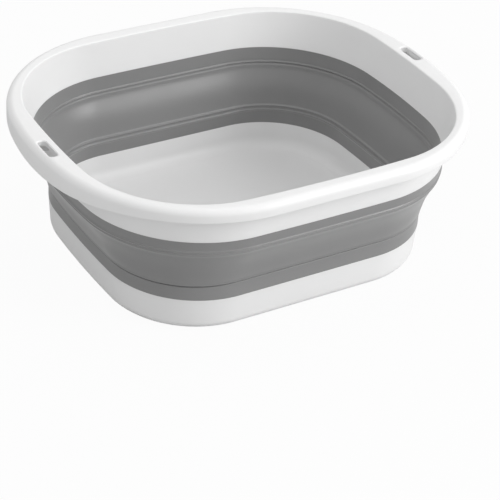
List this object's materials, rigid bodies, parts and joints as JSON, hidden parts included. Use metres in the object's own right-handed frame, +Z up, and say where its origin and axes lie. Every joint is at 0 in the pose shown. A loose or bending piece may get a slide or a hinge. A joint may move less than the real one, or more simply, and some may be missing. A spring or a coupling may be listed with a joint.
{
  "type": "washing up bowl",
  "caption": "Rounded rectangular folding washing up bowl: stiff white rim with slotted handles, soft grey folding wall and a stiff white base tray.",
  "frame": {"origin": "middle of the footprint, on the surface that the foot ring stands on", "axes": "+X along the bowl towards one handle, +Y across the bowl, +Z up towards the open mouth"},
  "size_m": [0.4, 0.328, 0.14],
  "materials": {
    "white_polypropylene": "injection moulded polypropylene, satin",
    "grey_elastomer": "overmoulded thermoplastic elastomer, matt"
  },
  "bodies": {
    "tray": {"base_tray": "white_polypropylene", "wall_lower_band": "grey_elastomer", "wall_fold_band": "grey_elastomer"},
    "rim": {"rim_frame": "white_polypropylene", "wall_upper_band": "grey_elastomer"}
  },
  "joints": [
    {"name": "fold", "type": "slide", "parent": "tray", "child": "rim", "axis": [0, 0, 1], "range_m": [-0.084, 0], "deforming": ["wall_fold_band"]}
  ]
}
